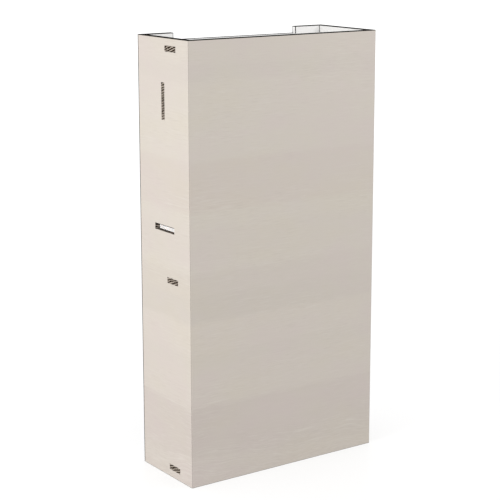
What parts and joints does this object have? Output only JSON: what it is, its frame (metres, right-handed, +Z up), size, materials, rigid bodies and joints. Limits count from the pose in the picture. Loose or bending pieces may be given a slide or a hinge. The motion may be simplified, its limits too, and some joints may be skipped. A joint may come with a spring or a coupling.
{
  "type": "cabinet battery unit",
  "caption": "Tall tab-and-slot board casing with a clip-on front, holding stacked battery modules, a control unit, an inverter and switchgear.",
  "frame": {"origin": "middle of the bounding box at floor level", "axes": "+Z up, -Y out of the front panel towards the room, +X to the right as seen from the front"},
  "size_m": [0.6, 0.244, 1.176],
  "materials": {
    "oak_decor_board": "matt bleached-oak decor with a fine level grain, white inside, dark cut core",
    "white_board": "matt white melamine face, dark cut core",
    "beech_dowel": "plain",
    "nylon": "matt",
    "zinc_screws": "bright zinc",
    "rubber_pads": "matt",
    "galvanised_steel": "galvanised",
    "module_paint": "fine powder coat",
    "cell_sleeve": "blue film",
    "copper": "bright copper",
    "handle_steel": "satin",
    "circuit_board": "solder mask",
    "black_plastic": "fine texture",
    "power_button": "satin",
    "indicator_lens": "clear green",
    "orange_plastic": "fine texture",
    "black_lead": "smooth",
    "orange_lead": "smooth",
    "inverter_paint": "fine powder coat",
    "inverter_cover": "fine powder coat",
    "aluminium": "extruded",
    "display_glass": "polished",
    "grey_keys": "matt",
    "grey_plastic": "matt",
    "lever_plastic": "satin",
    "red_knob": "satin"
  },
  "bodies": {
    "casing": {"left_side_panel": "oak_decor_board", "right_side_panel": "oak_decor_board", "bottom_board": "white_board", "shelf_board": "white_board", "top_board": "white_board", "mounting_rail": "white_board", "left_rear_stile": "white_board", "right_rear_stile": "white_board", "stile_dowels": "beech_dowel", "clip_sockets": "nylon", "wood_screws": "zinc_screws", "machine_screws": "zinc_screws", "stack_pads": "rubber_pads", "tie_bars": "galvanised_steel", "lower_case": "module_paint", "upper_case": "module_paint", "lower_lid": "module_paint", "upper_lid": "module_paint", "lower_cells": "cell_sleeve", "upper_cells": "cell_sleeve", "busbars": "copper", "control_case": "module_paint", "control_cover": "module_paint", "control_board": "circuit_board", "main_contactor": "black_plastic", "status_lights": "indicator_lens", "dc_sockets": "black_plastic", "dc_plugs": "orange_plastic", "link_lead": "black_lead", "positive_lead": "orange_lead", "negative_lead": "black_lead", "solar_lead": "black_lead", "inverter_bracket": "galvanised_steel", "inverter_case": "inverter_paint", "inverter_cover": "inverter_cover", "heat_sink": "aluminium", "power_board": "circuit_board", "fan_frame": "black_plastic", "display": "display_glass", "cable_glands": "black_plastic", "equipment_plate": "inverter_paint", "din_rail": "galvanised_steel", "solar_breaker": "grey_plastic", "isolator_body": "black_plastic", "fuse_holder": "black_plastic"},
    "front": {"front_panel": "oak_decor_board", "clip_studs": "nylon"},
    "lower_left_bail": {"lower_left_handle": "handle_steel"},
    "lower_right_bail": {"lower_right_handle": "handle_steel"},
    "upper_left_bail": {"upper_left_handle": "handle_steel"},
    "upper_right_bail": {"upper_right_handle": "handle_steel"},
    "power_key": {"power_button": "power_button"},
    "up_key": {"up_key": "grey_keys"},
    "down_key": {"down_key": "grey_keys"},
    "enter_key": {"enter_key": "grey_keys"},
    "rocker": {"rocker_switch": "black_plastic"},
    "breaker_toggle": {"breaker_lever": "lever_plastic"},
    "isolator_grip": {"isolator_knob": "red_knob"},
    "fan": {"fan_rotor": "black_plastic"}
  },
  "joints": [
    {"name": "front_pull", "type": "slide", "parent": "casing", "child": "front", "axis": [0, -1, 0], "range_m": [0, 0.4]},
    {"name": "lower_left_lift", "type": "hinge", "parent": "casing", "child": "lower_left_bail", "pos_m": [-0.217, 0.014, 0.163], "axis": [0, 1, 0], "range_deg": [0, 95]},
    {"name": "lower_right_lift", "type": "hinge", "parent": "casing", "child": "lower_right_bail", "pos_m": [0.217, 0.014, 0.163], "axis": [0, -1, 0], "range_deg": [0, 95]},
    {"name": "upper_left_lift", "type": "hinge", "parent": "casing", "child": "upper_left_bail", "pos_m": [-0.217, 0.014, 0.329], "axis": [0, 1, 0], "range_deg": [0, 95]},
    {"name": "upper_right_lift", "type": "hinge", "parent": "casing", "child": "upper_right_bail", "pos_m": [0.217, 0.014, 0.329], "axis": [0, -1, 0], "range_deg": [0, 95]},
    {"name": "power_press", "type": "slide", "parent": "casing", "child": "power_key", "axis": [0, 1, 0], "range_m": [0, 0.002], "stiffness_N_per_m": 400},
    {"name": "up_press", "type": "slide", "parent": "casing", "child": "up_key", "axis": [0, 1, 0], "range_m": [0, 0.0015], "stiffness_N_per_m": 300},
    {"name": "down_press", "type": "slide", "parent": "casing", "child": "down_key", "axis": [0, 1, 0], "range_m": [0, 0.0015], "stiffness_N_per_m": 300},
    {"name": "enter_press", "type": "slide", "parent": "casing", "child": "enter_key", "axis": [0, 1, 0], "range_m": [0, 0.0015], "stiffness_N_per_m": 300},
    {"name": "rocker_tip", "type": "hinge", "parent": "casing", "child": "rocker", "pos_m": [0.2, -0.093, 0.724], "axis": [1, 0, 0], "range_deg": [-16, 0]},
    {"name": "breaker_throw", "type": "hinge", "parent": "casing", "child": "breaker_toggle", "pos_m": [-0.228, -0.076, 1.01], "axis": [1, 0, 0], "range_deg": [0, 70]},
    {"name": "isolator_turn", "type": "hinge", "parent": "casing", "child": "isolator_grip", "pos_m": [-0.21, -0.0533, 0.787], "axis": [0, -1, 0], "range_deg": [0, 90]},
    {"name": "fan_spin", "type": "hinge", "parent": "casing", "child": "fan", "pos_m": [0.09, -0.051, 1.055], "axis": [0, 0, 1], "continuous": true}
  ]
}
